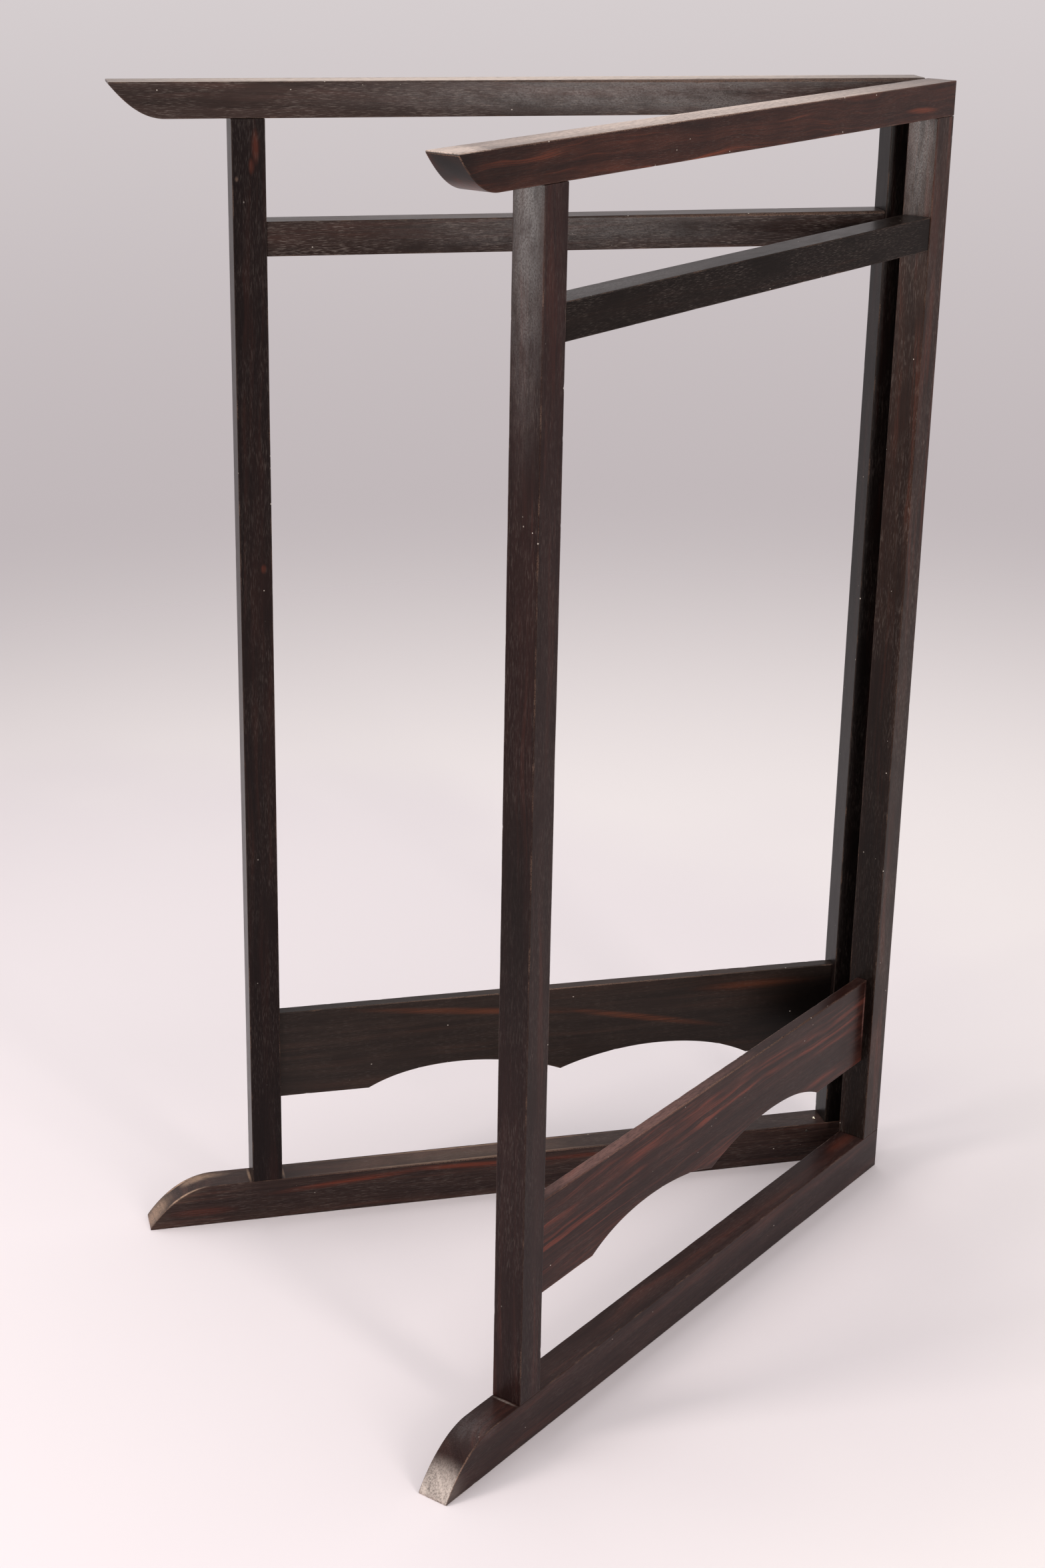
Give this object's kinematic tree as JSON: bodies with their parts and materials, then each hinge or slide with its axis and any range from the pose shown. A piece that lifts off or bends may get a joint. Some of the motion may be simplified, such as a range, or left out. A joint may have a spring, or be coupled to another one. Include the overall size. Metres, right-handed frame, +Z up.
{
  "type": "kimono stand",
  "caption": "Folding kimono stand: paired dark hardwood frames with overhanging rails and wave-cut boards, hinged in a V to hang a robe over the top rails.",
  "frame": {"origin": "on the floor, in the middle of the footprint's bounding rectangle, with the stand set up in a V of 40 degrees", "axes": "+Z up; the V opens towards -Y and the hinge pins stand at the +Y end; +X towards the right panel, so the panels mirror each other in the YZ plane"},
  "size_m": [0.7612, 0.9529, 1.5],
  "materials": {
    "frame_wood": "satin polished dark hardwood with light pore flecks and worn edges",
    "board_wood": "satin polished dark hardwood with reddish stripes along the grain",
    "hinge_brass": "dulled brass",
    "screw_brass": "dulled brass, brighter on the rims",
    "tack_metal": "polished pale brass",
    "nail_iron": "dark oxidised iron"
  },
  "bodies": {
    "left_panel": {"left_base_rail": "frame_wood", "left_hinge_post": "frame_wood", "left_outer_post": "frame_wood", "left_mid_rail": "frame_wood", "left_wave_board": "board_wood", "left_top_rail": "frame_wood", "left_lower_hinge_leaf": "hinge_brass", "left_lower_leaf_screw_1": "screw_brass", "left_lower_leaf_screw_2": "screw_brass", "left_lower_leaf_screw_3": "screw_brass", "left_upper_hinge_leaf": "hinge_brass", "left_upper_leaf_screw_1": "screw_brass", "left_upper_leaf_screw_2": "screw_brass", "left_upper_leaf_screw_3": "screw_brass", "lower_hinge_pin": "hinge_brass", "upper_hinge_pin": "hinge_brass", "left_base_rail_tack": "tack_metal", "left_base_rail_nail": "nail_iron"},
    "right_panel": {"right_base_rail": "frame_wood", "right_hinge_post": "frame_wood", "right_outer_post": "frame_wood", "right_mid_rail": "frame_wood", "right_wave_board": "board_wood", "right_top_rail": "frame_wood", "right_lower_hinge_leaf": "hinge_brass", "right_lower_leaf_screw_1": "screw_brass", "right_lower_leaf_screw_2": "screw_brass", "right_lower_leaf_screw_3": "screw_brass", "right_upper_hinge_leaf": "hinge_brass", "right_upper_leaf_screw_1": "screw_brass", "right_upper_leaf_screw_2": "screw_brass", "right_upper_leaf_screw_3": "screw_brass"}
  },
  "joints": [
    {"name": "panel_fold", "type": "hinge", "parent": "left_panel", "child": "right_panel", "pos_m": [0, 0.46373, 0.774], "axis": [0, 0, 1], "range_deg": [-40, 140]}
  ]
}
